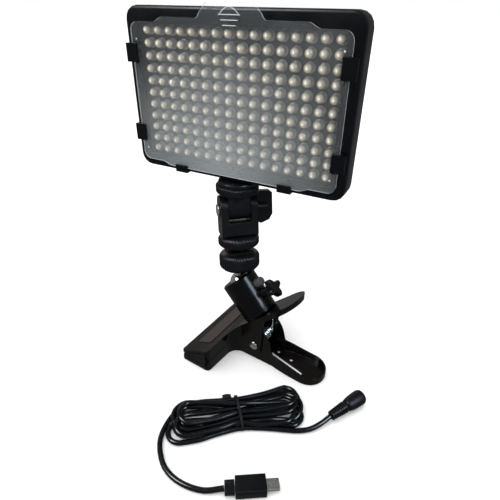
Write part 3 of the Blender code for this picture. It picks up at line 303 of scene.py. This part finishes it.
def led_epoxy():
    """Clear epoxy over a yellow chip: warm in the middle of each diode, greyer at its rim."""
    mat = surface("led_epoxy", (0.5, 0.5, 0.5), 0.22, vary=0.1, grain=900.0, bump=0.02, spec=0.5, coat=0.25)
    tree = mat.node_tree
    split = tree.nodes.new("ShaderNodeSeparateXYZ")
    tree.links.new(tree.nodes["place"].outputs["Object"], split.inputs["Vector"])

    def square_from_centre(output, pitch, shift):
        fold = calculate(tree, "SUBTRACT", output, shift * MM)
        fold = calculate(tree, "WRAP", fold, -pitch / 2 * MM, pitch / 2 * MM)
        return calculate(tree, "POWER", fold, 2.0)

    x = square_from_centre(split.outputs["X"], LED_PITCH_X, LED_PITCH_X / 2)
    z = square_from_centre(split.outputs["Z"], LED_PITCH_Z, PANEL_CENTRE_Z)
    distance = calculate(tree, "SQRT", calculate(tree, "ADD", x, z))
    colours = tree.nodes.new("ShaderNodeValToRGB")
    ramp = colours.color_ramp
    ramp.elements[0].color = (0.88, 0.78, 0.54, 1.0)
    ramp.elements[0].position = 0.10
    ramp.elements[1].color = (0.22, 0.21, 0.185, 1.0)
    middle = ramp.elements.new(0.38)
    middle.color = (0.38, 0.35, 0.28, 1.0)
    tree.links.new(remap(tree, distance, (0.0, LED_RADIUS * MM), (0.0, 1.0)), colours.inputs["Fac"])
    tree.links.new(colours.outputs["Color"], tree.nodes["Principled BSDF"].inputs["Base Color"])
    return mat


MATS = {
    "housing": surface("housing_gloss", (0.0016, 0.002, 0.0034), 0.30, bump=0.05, spec=0.16),
    "plastic": surface("moulded_black", (0.0022, 0.0026, 0.0038), 0.38, bump=0.10),
    "silver_plastic": surface("button_grey", (0.055, 0.055, 0.058), 0.38, bump=0.05),
    "lens": surface("smoked_window", (0.06, 0.06, 0.065), 0.12, bump=0.0),
    "brass": surface("insert_brass", (0.20, 0.15, 0.07), 0.50, metal=1.0),
    "screw": surface("black_oxide", (0.03, 0.03, 0.032), 0.38, metal=1.0),
    "board": surface("solder_mask", (0.01, 0.06, 0.03), 0.35),
    "mount": surface("mount_plastic", (0.0024, 0.0032, 0.0052), 0.36, bump=0.14, grain=3500.0, spec=0.2),
    "chrome": surface("bright_chrome", (0.78, 0.76, 0.72), 0.10, metal=1.0, vary=0.04, bump=0.0),
    "socket": surface("socket_paint", (0.0012, 0.0014, 0.0019), 0.20, bump=0.04, grain=900.0, spec=0.2),
    "clamp": surface("clamp_paint", (0.0024, 0.0018, 0.0015), 0.16, bump=0.06, grain=700.0, patch=35.0,
                     spec=0.26),
    # Brown on the upper jaw's raised plate: a painted warm reflection, not the paint's own colour.
    "clamp_face_painted_reflection": surface("clamp_face_painted_reflection", (0.013, 0.0098, 0.0088), 0.34, bump=0.10, grain=700.0, patch=35.0,
                          spec=0.35),
    "rubber": surface("pad_rubber", (0.0045, 0.0045, 0.005), 0.75, bump=0.25, grain=1800.0, spec=0.2),
    "nylon": surface("nylon", (0.45, 0.44, 0.40), 0.5),
    "zinc": surface("bright_zinc", (0.80, 0.83, 0.82), 0.22, metal=1.0, vary=0.08, patch=300.0),
    "steel": surface("nickel", (0.62, 0.61, 0.58), 0.22, metal=1.0, vary=0.08, patch=200.0),
    "cord": surface("cord_pvc", (0.0017, 0.0021, 0.0034), 0.22, bump=0.04, grain=1400.0, spec=0.40),
    "led": led_epoxy(),
    # The diode board is painted dark grey as painted shade between and behind the diodes.
    "led_board": surface("board_painted_shade", (0.035, 0.035, 0.037), 0.45, patch=90.0),
    "acrylic": clear_plastic("acrylic_face", (0.60, 0.65, 0.67), 0.03, 0.19, 0.16),
    # Pale, more opaque acrylic for the tab's marks and studs, and a painted highlight on the diffuser's cut
    # edge and border.
    "acrylic_marks_and_edge_highlight": clear_plastic("acrylic_marks_and_edge_highlight", (0.80, 0.84, 0.88), 0.45, 0.60, 0.25),
}


# ---------------------------------------------------------------- camera, light and floor

def make_camera():
    """Camera that looks down on the light from its front right."""
    right, down = Vector(CAMERA_RIGHT).normalized(), Vector(CAMERA_DOWN).normalized()
    back = right.cross(-down)
    camera = bpy.data.objects.new("camera", bpy.data.cameras.new("camera"))
    bpy.context.scene.collection.objects.link(camera)
    turn = Matrix((right, -down, back)).transposed().to_4x4()
    camera.matrix_world = Matrix.Translation(Vector(CAMERA_PLACE) * MM) @ turn
    camera.data.lens = CAMERA_LENS
    camera.data.sensor_width = 36.0
    camera.data.clip_start = 0.01
    bpy.context.scene.camera = camera


def softbox(name, direction, distance, size, power, colour):
    """Lamp that is only mirrored in glossy surfaces."""
    lamp = bpy.data.lights.new(name, "AREA")
    lamp.shape = "RECTANGLE"
    lamp.size, lamp.size_y = size
    lamp.energy = power
    lamp.color = colour
    obj = bpy.data.objects.new(name, lamp)
    bpy.context.scene.collection.objects.link(obj)
    towards = Vector(direction).normalized()
    obj.location = Vector(LIGHT_TARGET) * MM + towards * distance
    obj.rotation_euler = (-towards).to_track_quat("-Z", "Y").to_euler()
    obj.visible_camera = False
    obj.visible_diffuse = False


def make_studio():
    """White surround, a wide overhead sun, three softboxes and a pale floor."""
    scene = bpy.context.scene
    scene.view_settings.view_transform = "Standard"
    world = bpy.data.worlds.new("studio")
    scene.world = world
    world.use_nodes = True
    tree = world.node_tree
    sky = tree.nodes["Background"]
    sky.inputs["Color"].default_value = (1.0, 1.0, 1.0, 1.0)
    seen = tree.nodes.new("ShaderNodeLightPath")
    more_fill, more_seen = SKY_FILL - SKY_MIRRORED, SKY_SEEN - SKY_MIRRORED
    fill = calculate(tree, "MULTIPLY_ADD", seen.outputs["Is Diffuse Ray"], more_fill, SKY_MIRRORED)
    total = calculate(tree, "MULTIPLY_ADD", seen.outputs["Is Camera Ray"], more_seen, fill)
    tree.links.new(total, sky.inputs["Strength"])
    sun = bpy.data.objects.new("overhead", bpy.data.lights.new("overhead", "SUN"))
    sun.data.energy = 2.0
    sun.data.angle = math.radians(70)
    sun.rotation_euler = (math.radians(12), math.radians(-8), 0.0)
    sun.visible_glossy = False
    scene.collection.objects.link(sun)
    softbox("key", (-0.55, -0.70, 0.85), 0.9, (0.35, 0.5), 11.0, (0.92, 0.96, 1.0))
    softbox("window", (0.95, -0.25, 0.75), 0.9, (0.25, 0.6), 9.0, (0.72, 0.86, 1.0))
    softbox("warm_card", (-0.69, 0.72, 0.22), 1.0, (0.9, 0.35), 1.3, (1.0, 0.80, 0.68))
    hole, reach = 0.05, 9000.0
    floor = loft([circle(r, 0.0, 64) for r in (hole, reach)], caps=False)
    mesh = bpy.data.meshes.new("floor")
    floor.transform(Matrix.Scale(MM, 4))
    floor.to_mesh(mesh)
    floor.free()
    plane = bpy.data.objects.new("floor", mesh)
    mesh.materials.append(surface("pale_floor", (0.86, 0.86, 0.86), 0.9, vary=0.01, bump=0.0, spec=0.0))
    scene.collection.objects.link(plane)
    plane.location.z = -0.0002
    plane.visible_glossy = False


# ---------------------------------------------------------------- power lead

def hank_frame():
    """Frame of the hank, with its X along the turns."""
    return Matrix.Translation(HANK_CENTRE) @ Matrix.Rotation(HANK_AZIMUTH, 4, "Z")


def hank_route():
    """Points of the folded turns, in the hank's frame: U-turns at both ends, squeezed together at the tie."""
    def strand(v0, v1, z0, z1):
        """Three points from the right end to the left, drawn in by the tie in the middle."""
        middle = ((14.0, 0.22, 0.86), (0.0, 0.5, 0.62), (-14.0, 0.78, 0.86))
        return [(u, (v0 + (v1 - v0) * t) * squeeze, z0 + (z1 - z0) * t) for u, t, squeeze in middle]

    def height(layer):
        return CORD_RADIUS + 0.05 + CORD_LAYER * layer

    z = height(0)
    points = [(14.0, -12.4, z), (0.0, -10.2, z), (-14.0, -11.6, z), (-26.0, -14.8, z)]
    points += [(u, v, z) for u, v in arc(-37.4, -8.4, 7.4, 270, 90, 8)]
    for side, centre, radius, layer, shift in HANK_TURNS:
        v = points[-1][1]
        if side == "right":
            bend = arc(HANK_RIGHT + shift, centre, radius, -90, 90, 8)
            run = strand(bend[0][1], v, height(layer), z)[::-1]
        else:
            bend = arc(HANK_LEFT + shift, centre, radius, 90, 270, 8)
            run = strand(v, bend[0][1], z, height(layer))
        z = height(layer)
        points += run + [(u, w, z) for u, w in bend]
    points += [(15.0, 9.2, 9.2), (0.0, 7.0, 8.0), (-14.0, 8.2, 6.8), (-25.0, 9.3, 5.2), (-33.5, 7.6, 3.6)]
    points += [(-40.0, 3.2, 2.4), (-44.2, -2.8, 1.8)]
    return points


def relax(path):
    """Pushes the turns apart over a fixed number of rounds and lets them settle on the table."""
    rounds, settling, sink, clearance = 170, 140, 0.04, 2.04 * CORD_RADIUS
    neighbours, push_share, evening = 8, 0.3, 0.4
    base = np.array([list(p) for p in path])
    points = base.copy()
    index = np.arange(len(points))
    apart = np.abs(index[:, None] - index[None, :]) > neighbours
    for step in range(rounds):
        gap = points[:, None, :] - points[None, :, :]
        far = np.linalg.norm(gap, axis=2) + 1e-9
        push = np.where(apart & (far < clearance), (clearance - far) / far, 0.0)
        points += push_share * (push[:, :, None] * gap).sum(axis=1)
        if step < settling:
            points[:, 2] -= sink
        moved = points - base
        for _ in range(2):
            moved[1:-1] += evening * ((moved[:-2] + moved[2:]) / 2 - moved[1:-1])
        moved[0] = moved[-1] = 0.0
        points = base + moved
        points[:, 2] = np.maximum(points[:, 2], CORD_RADIUS)
    return [Vector(p) for p in points]


def evenly(path, step):
    """The same path with points at equal distances."""
    points = np.array([list(p) for p in path])
    along = np.concatenate([[0.0], np.cumsum(np.linalg.norm(np.diff(points, axis=0), axis=1))])
    at = np.linspace(0.0, along[-1], int(along[-1] / step) + 1)
    return [Vector([np.interp(s, along, points[:, k]) for k in range(3)]) for s in at]


def cord_route():
    """From the barrel plug through the hank to the flat plug."""
    to_world = hank_frame()
    points = [Vector(p) for p in DC_TAIL]
    points += [to_world @ Vector(p) for p in hank_route()]
    points += [Vector((x, y, CORD_RADIUS)) for x, y in USB_TAIL] + [Vector(USB_END)]
    spacing = 2.2
    return relax(evenly(smooth_path(points, 8), spacing))


def make_cord():
    """The lead as one round cord, with its path and its length in metres."""
    path = cord_route()
    curve = bpy.data.curves.new("power_lead", "CURVE")
    curve.dimensions = "3D"
    curve.bevel_depth = CORD_RADIUS * MM
    curve.bevel_resolution = 4
    curve.use_fill_caps = True
    spline = curve.splines.new("POLY")
    spline.points.add(len(path) - 1)
    for target, point in zip(spline.points, path):
        target.co = (*(point * MM), 1.0)
    spline.use_smooth = True
    lead = bpy.data.objects.new("power_lead", curve)
    bpy.context.scene.collection.objects.link(lead)
    curve.materials.append(MATS["cord"])
    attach(lead, "base")
    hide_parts("lead_hank", "lead_usb_tail", "lead_dc_tail")
    length = sum((b - a).length for a, b in zip(path, path[1:])) * MM
    return lead, path, length


def make_tie(path):
    """Thin leaning band drawn round the turns, with its short twisted ends on the far edge beside it."""
    half_width, thick, lean, slack, steps = 0.8, 0.45, -0.10, 0.25, 40
    to_hank = hank_frame().inverted()
    local = [to_hank @ p for p in path]
    near = [p for p in local if abs(p.x) < 1.6]
    centre = Vector((0.0, sum(p.y for p in near) / len(near), sum(p.z for p in near) / len(near)))
    rays = [Vector((0.0, y, z)) for y, z, _ in circle(1.0, 0.0, steps)]
    points = []
    for ray in rays:
        reach = max((p - centre).dot(ray) for p in near) + CORD_RADIUS + slack
        point = centre + ray * reach
        point.z = max(point.z, slack)
        points.append(point)
    sections = []
    for k, ray in enumerate(rays):
        smooth = (points[k - 2] + 2 * points[k - 1] + 3 * points[k] + 2 * points[(k + 1) % steps]
                  + points[(k + 2) % steps]) / 9
        right = smooth + Vector((lean * smooth.y + half_width, 0, 0))
        left = smooth + Vector((lean * smooth.y - half_width, 0, 0))
        sections.append([right, right + ray * thick, left + ray * thick, left])
    band = loft(sections, closed=True)
    shoulder = max((p for p in local if abs(p.x + 4.5) < 2.0 and p.y > 3.0), key=lambda p: p.y + p.z)
    knot = shoulder + Vector((-0.5, 0.9, 1.7))
    for across, up, radius in ((0.0, 0.0, 1.0), (1.3, 0.5, 0.8)):
        along = ((2.4, across - 0.5, up - 0.1), (0.4, across, up + 0.2), (-1.8, across + 0.1, up),
                 (-3.2, across, up - 0.5))
        twist = smooth_path([knot + Vector(step) for step in along], 6)
        band = tube(twist, radius, 10, bm=band)
    tie = add_piece("tie_band", band, "base", [MATS["rubber"]], hank_frame(), ["lead_tie"])
    return tie


def make_dc_plug():
    """Barrel plug: a ribbed strain relief and a smooth moulded grip."""
    a, b = Vector(DC_START), Vector(DC_END)
    place = frame_at(a, (0, 0, 1), b - a)
    length = (b - a).length
    ribs, relief_length, rib_height = 7, 13.0, 1.1
    pitch = (relief_length - 0.6) / ribs
    profile = [(0.0, 0.2), (2.2, 0.2)]
    for k in range(ribs):
        h = 0.5 + k * pitch
        core = 2.0 + 0.9 * k / ribs
        crest = core + rib_height
        profile += [(core, h), (crest - 0.15, h + 0.15), (crest, h + 0.4), (crest, h + 0.85),
                    (crest - 0.15, h + 1.05), (core, h + 1.2)]
    profile += [(3.1, relief_length + 0.3), (0.0, relief_length + 0.3)]
    relief = add_piece("dc_relief", lathe(profile, 40), "base", [MATS["cord"]], place,
                       ["dc_strain_relief"], 50)
    s = relief_length + 0.6
    hole = 2.7
    grip = [(0.0, s), (3.3, s), (3.7, s + 0.3), (4.1, s + 1.5), (4.6, s + 4.0), (4.95, s + 8.0)]
    grip += [(5.1, length - 3.4), (4.95, length - 1.8), (4.4, length - 0.7), (3.5, length - 0.1),
             (2.9, length)]
    grip += [(hole, length - 0.3), (hole, length - 7.0), (0.0, length - 7.0)]
    plug = add_piece("dc_grip", lathe(grip, 56), "base", [MATS["plastic"]], place, ["dc_plug_body"], 50)
    return relief, plug


# ---------------------------------------------------------------- panel

def led_outline():
    """(radius, distance from the board) of one diode, from its flange to the top of its dome."""
    tall = BOARD_FRONT_Y - LED_TIP_Y
    body = tall - LED_RADIUS
    flange = LED_RADIUS + 0.45
    rows = [(flange, 0.0), (flange, 0.9), (flange - 0.2, 1.1), (LED_RADIUS, 1.15), (LED_RADIUS, body)]
    rows += [(LED_RADIUS * math.cos(a), body + LED_RADIUS * math.sin(a))
             for a in (math.radians(d) for d in (18, 36, 54, 72))]
    return rows + [(0.12, tall)]


def make_leds():
    """All diodes as one piece, and the board behind them."""
    leds = bmesh.new()
    rows = led_outline()
    for column in range(LED_COLUMNS):
        for row in range(LED_ROWS):
            x = (column - (LED_COLUMNS - 1) / 2) * LED_PITCH_X
            z = PANEL_CENTRE_Z + (row - (LED_ROWS - 1) / 2) * LED_PITCH_Z
            loft([[(x + a, BOARD_FRONT_Y - out, z + b) for a, b, _ in circle(radius, 0.0, 18)]
                  for radius, out in rows], bm=leds)
    add_piece("led_array", leds, "panel", [MATS["led"]], smooth=50)
    half_x, half_z = BOARD_HALF
    corners = [(-half_x, -half_z), (half_x, -half_z), (half_x, half_z), (-half_x, half_z)]
    faces = (BOARD_FRONT_Y + 0.02, BOARD_FRONT_Y + BOARD_THICK)
    board = loft([[(x, y, z + PANEL_CENTRE_Z) for x, z in corners] for y in faces])
    # Board behind the diodes, its dark grey a painted shade.
    sheet = add_piece("led_circuit_board", board, "panel", [MATS["led_board"]], replaces=["led_board"])


def diffuser_outline():
    """Half outline from the tab's top over shoulder and corners to the stepped lower edge, and mirrored."""
    half = [(0.0, 50.6), (11.6, 50.7)] + arc(13.4, 48.2, 2.5, 78, 20, 4) + [(19.2, 45.4)]
    half += arc(22.2, 45.9, 3.0, 215, 270, 3) + [(44.6, 42.9), (46.0, 42.6), (49.2, 40.7), (51.0, 40.1)]
    half += arc(63.0, 35.1, 5.0, 90, 0, 8) + arc(63.0, -37.9, 5.0, 0, -90, 8)
    half += [(52.6, -42.9), (51.2, -43.2), (47.4, -44.8), (46.0, -45.1)]
    outline = [(x, z + PANEL_CENTRE_Z) for x, z in half]
    return outline + [(-x, z + PANEL_CENTRE_Z) for x, z in reversed(half[1:])]


def make_diffuser_marks():
    """Three bars and an arch on the tab, and a stud near each corner."""
    marks = bmesh.new()
    line, half_arch = 0.2, 5.6
    y = DIFFUSER_FRONT - 0.05
    top = PANEL_CENTRE_Z + 45.0
    for k, half in enumerate((6.6, 5.2, 4.0)):
        z = top - 2.55 * k
        tube([Vector((-half, y, z)), Vector((half, y, z))], line, 8, bm=marks)
    arch = [Vector((x, y, top + 0.4 + 3.2 * (1 - (x / half_arch) ** 2)))
            for x in np.linspace(-half_arch, half_arch, 9)]
    tube(arch, line, 8, bm=marks)
    for x in (-64.0, 64.0):
        for z in (31.0, -35.0):
            rings = [[(x + a, y - out, PANEL_CENTRE_Z + z + b) for a, b, _ in circle(r, 0.0, 12)]
                     for r, out in ((0.55, 0.0), (0.4, 0.25), (0.1, 0.35))]
            loft(rings, bm=marks)
    add_piece("diffuser_marks", marks, "diffuser_plate", [MATS["acrylic_marks_and_edge_highlight"]])


def make_diffuser():
    """Clear plate whose cut edge and narrow border are painted pale and more opaque as a painted highlight.
    """
    outline = diffuser_outline()
    bm = bmesh.new()
    front = [bm.verts.new((x, DIFFUSER_FRONT, z)) for x, z in outline]
    back = [bm.verts.new((x, DIFFUSER_BACK, z)) for x, z in outline]
    face = bm.faces.new(front)
    bm.faces.new(back)
    border = bmesh.ops.inset_individual(bm, faces=[face], thickness=0.35, use_even_offset=True)
    # Painted highlight: the narrow border and the cut edge take the pale, more opaque material.
    for strip in border["faces"]:
        strip.material_index = 1
    for i in range(len(outline)):
        j = (i + 1) % len(outline)
        bm.faces.new((front[i], front[j], back[j], back[i])).material_index = 1
    plate = add_piece("diffuser_plate", bm, "diffuser_plate", [MATS["acrylic"], MATS["acrylic_marks_and_edge_highlight"]],
                      replaces=["diffuser"], smooth=30)
    make_diffuser_marks()


# ---------------------------------------------------------------- turned and knurled parts

def knurled(profile, teeth, depth):
    """A turned wheel with a bore and a knurled rim; profile rows are (radius, height, toothed)."""
    rings = []
    tooth = (0.0, 0.55, 1.0, 0.55)
    count = teeth * len(tooth)
    for radius, height, toothed in profile:
        ring = []
        for k in range(count):
            angle = math.tau * k / count
            notch = tooth[k % len(tooth)] if toothed else 0.0
            r = radius - depth * notch
            ring.append((r * math.cos(angle), r * math.sin(angle), height))
        rings.append(ring)
    return loft(rings, closed=True)


def make_rings():
    """Three thumb wheels, two on the ball's stem and one under the panel."""
    ball, stem = joint("stem_wheel_turn")
    _, hinge_axis = joint("tilt_lever_turn")
    on_stem = frame_at(ball, hinge_axis, stem)
    screw, _ = joint("head_ring_turn")
    under_panel = Matrix.Translation((screw.x, screw.y, 0.0))
    for name, node, body, teeth, depth, bore, (low, high), lower, upper in WHEELS:
        profile = [(bore, low, 0)]
        profile += [(RIM_RADIUS + beyond, low + up, toothed) for beyond, up, toothed in lower]
        profile += [(RIM_RADIUS + beyond, high - down, toothed) for beyond, down, toothed in upper]
        profile.append((bore, high, 0))
        place = under_panel if body == "head_ring" else on_stem
        wheel = add_piece(name, knurled(profile, teeth, depth), body, [MATS["mount"]], place, [node], 28)


def make_spring():
    """Torsion spring of the clamp on its pivot pin, with one leg on each jaw."""
    pivot, clamp_y = joint("jaw_open")
    place = frame_at(pivot, clamp_y.cross(Vector((0, 0, 1))), (0, 0, 1))
    mean_radius, wire_radius, turns, steps, half = 4.3, 0.78, 7, 36, 7.8
    path = [Vector((21.0, -half, 2.3 - pivot.z)), Vector((10.0, -half, -8.0)), Vector((4.0, -half, -5.6))]
    total = turns * steps
    for k in range(total - 8):
        a = math.radians(-75) - math.tau * k / steps
        y = -half + 2 * half * k / total
        path.append(Vector((mean_radius * math.cos(a), y, mean_radius * math.sin(a))))
    path += [path[-1] + Vector((0.4, 0.15, 2.4)), Vector((3.87, half, 24.35))]
    coil = tube(path, wire_radius, 12)
    spring = add_piece("clamp_spring", coil, "base", [MATS["zinc"]], place, ["torsion_spring"], 60)


def make_jaw_face():
    """Raised middle of the upper jaw's sloping plate, painted brown as a painted warm reflection."""
    front, rear, half, corner = 8.4, 22.0, 31.0, 2.2
    inset, narrowing = 0.25, 0.992
    pivot, clamp_y = joint("jaw_open")
    clamp_x = clamp_y.cross(Vector((0, 0, 1)))
    clamp = frame_at(pivot - CLAMP_PIVOT[0] * clamp_x - Vector((0, 0, CLAMP_PIVOT[1])), clamp_x, (0, 0, 1))
    slope = math.atan2(PLATE_REAR[1] - PLATE_FRONT[1], PLATE_REAR[0] - PLATE_FRONT[0])
    edge = Matrix.Translation((PLATE_FRONT[0], 0.0, PLATE_FRONT[1]))
    place = clamp @ edge @ Matrix.Rotation(-slope, 4, "Y")
    outline = arc(front + corner, half - corner, corner, 180, 90, 4)
    outline += arc(rear - corner, half - corner, corner, 90, 0, 4)
    outline += [(x, -y) for x, y in reversed(outline)]
    middle = (front + rear) / 2
    inner = [(x + math.copysign(inset, middle - x), y * narrowing) for x, y in outline]
    rings = [[(x, y, z) for x, y in line] for line, z in ((outline, 0.03), (outline, 0.3), (inner, 0.5))]
    # The plate's brown colour is a painted warm reflection.
    face = add_piece("jaw_face", loft(rings), "upper_clamp", [MATS["clamp_face_painted_reflection"]], place, smooth=25)


# ---------------------------------------------------------------- the CAD nodes that stay

# Material, radius of the rounded edges, nodes
FINISHES = {
    "housing": (0.5, ("front_bezel", "rear_cover")),
    "plastic": (0.35, ("battery_rail", "battery_contacts", "power_jack", "dimmer_knob", "power_switch",
                       "battery_release_button", "wing_knob", "usb_plug_body")),
    "silver_plastic": (0.2, ("battery_test_button", "tension_screw")),
    "lens": (0.1, ("indicator_window",)),
    "brass": (0.1, ("screw_insert",)),
    "screw": (0.1, tuple(f"cover_screw_{n}" for n in (1, 2, 3, 4))),
    "board": (0.1, ("driver_board",)),
    "mount": (0.6, ("tilt_body", "tilt_knuckle", "tilt_lever", "shoe_foot")),
    "chrome": (0.1, ("ball_stem",)),
    "socket": (0.4, ("ball_socket",)),
    "clamp": (0.4, ("upper_jaw", "lower_jaw")),
    "rubber": (0.1, ("upper_pad", "lower_pad")),
    "nylon": (0.1, ("ball_seat",)),
    "zinc": (0.1, ("socket_screw",)),
    "steel": (0.15, ("tilt_bolt", "pivot_pin", "usb_plug_tip")),
    "cord": (0.3, ("usb_strain_relief",)),
}


def finish_cad():
    """Paints the CAD nodes that are carried over and rounds their edges."""
    for finish, (edge, names) in FINISHES.items():
        for name in names:
            node = frame["nodes"][name]
            node.data.materials.clear()
            node.data.materials.append(MATS[finish])
            for attribute in ("custom_normal", "sharp_edge", "sharp_face"):
                if attribute in node.data.attributes:
                    node.data.attributes.remove(node.data.attributes[attribute])
            node.data.shade_smooth()
            weld = node.modifiers.new("Weld", "WELD")
            weld.merge_threshold = 0.00001
            soften(node, edge)


make_camera()
make_studio()
lead, lead_path, lead_length = make_cord()
tie_band = make_tie(lead_path)
dc_relief, dc_grip = make_dc_plug()
make_leds()
make_diffuser()
make_rings()
make_spring()
make_jaw_face()
finish_cad()
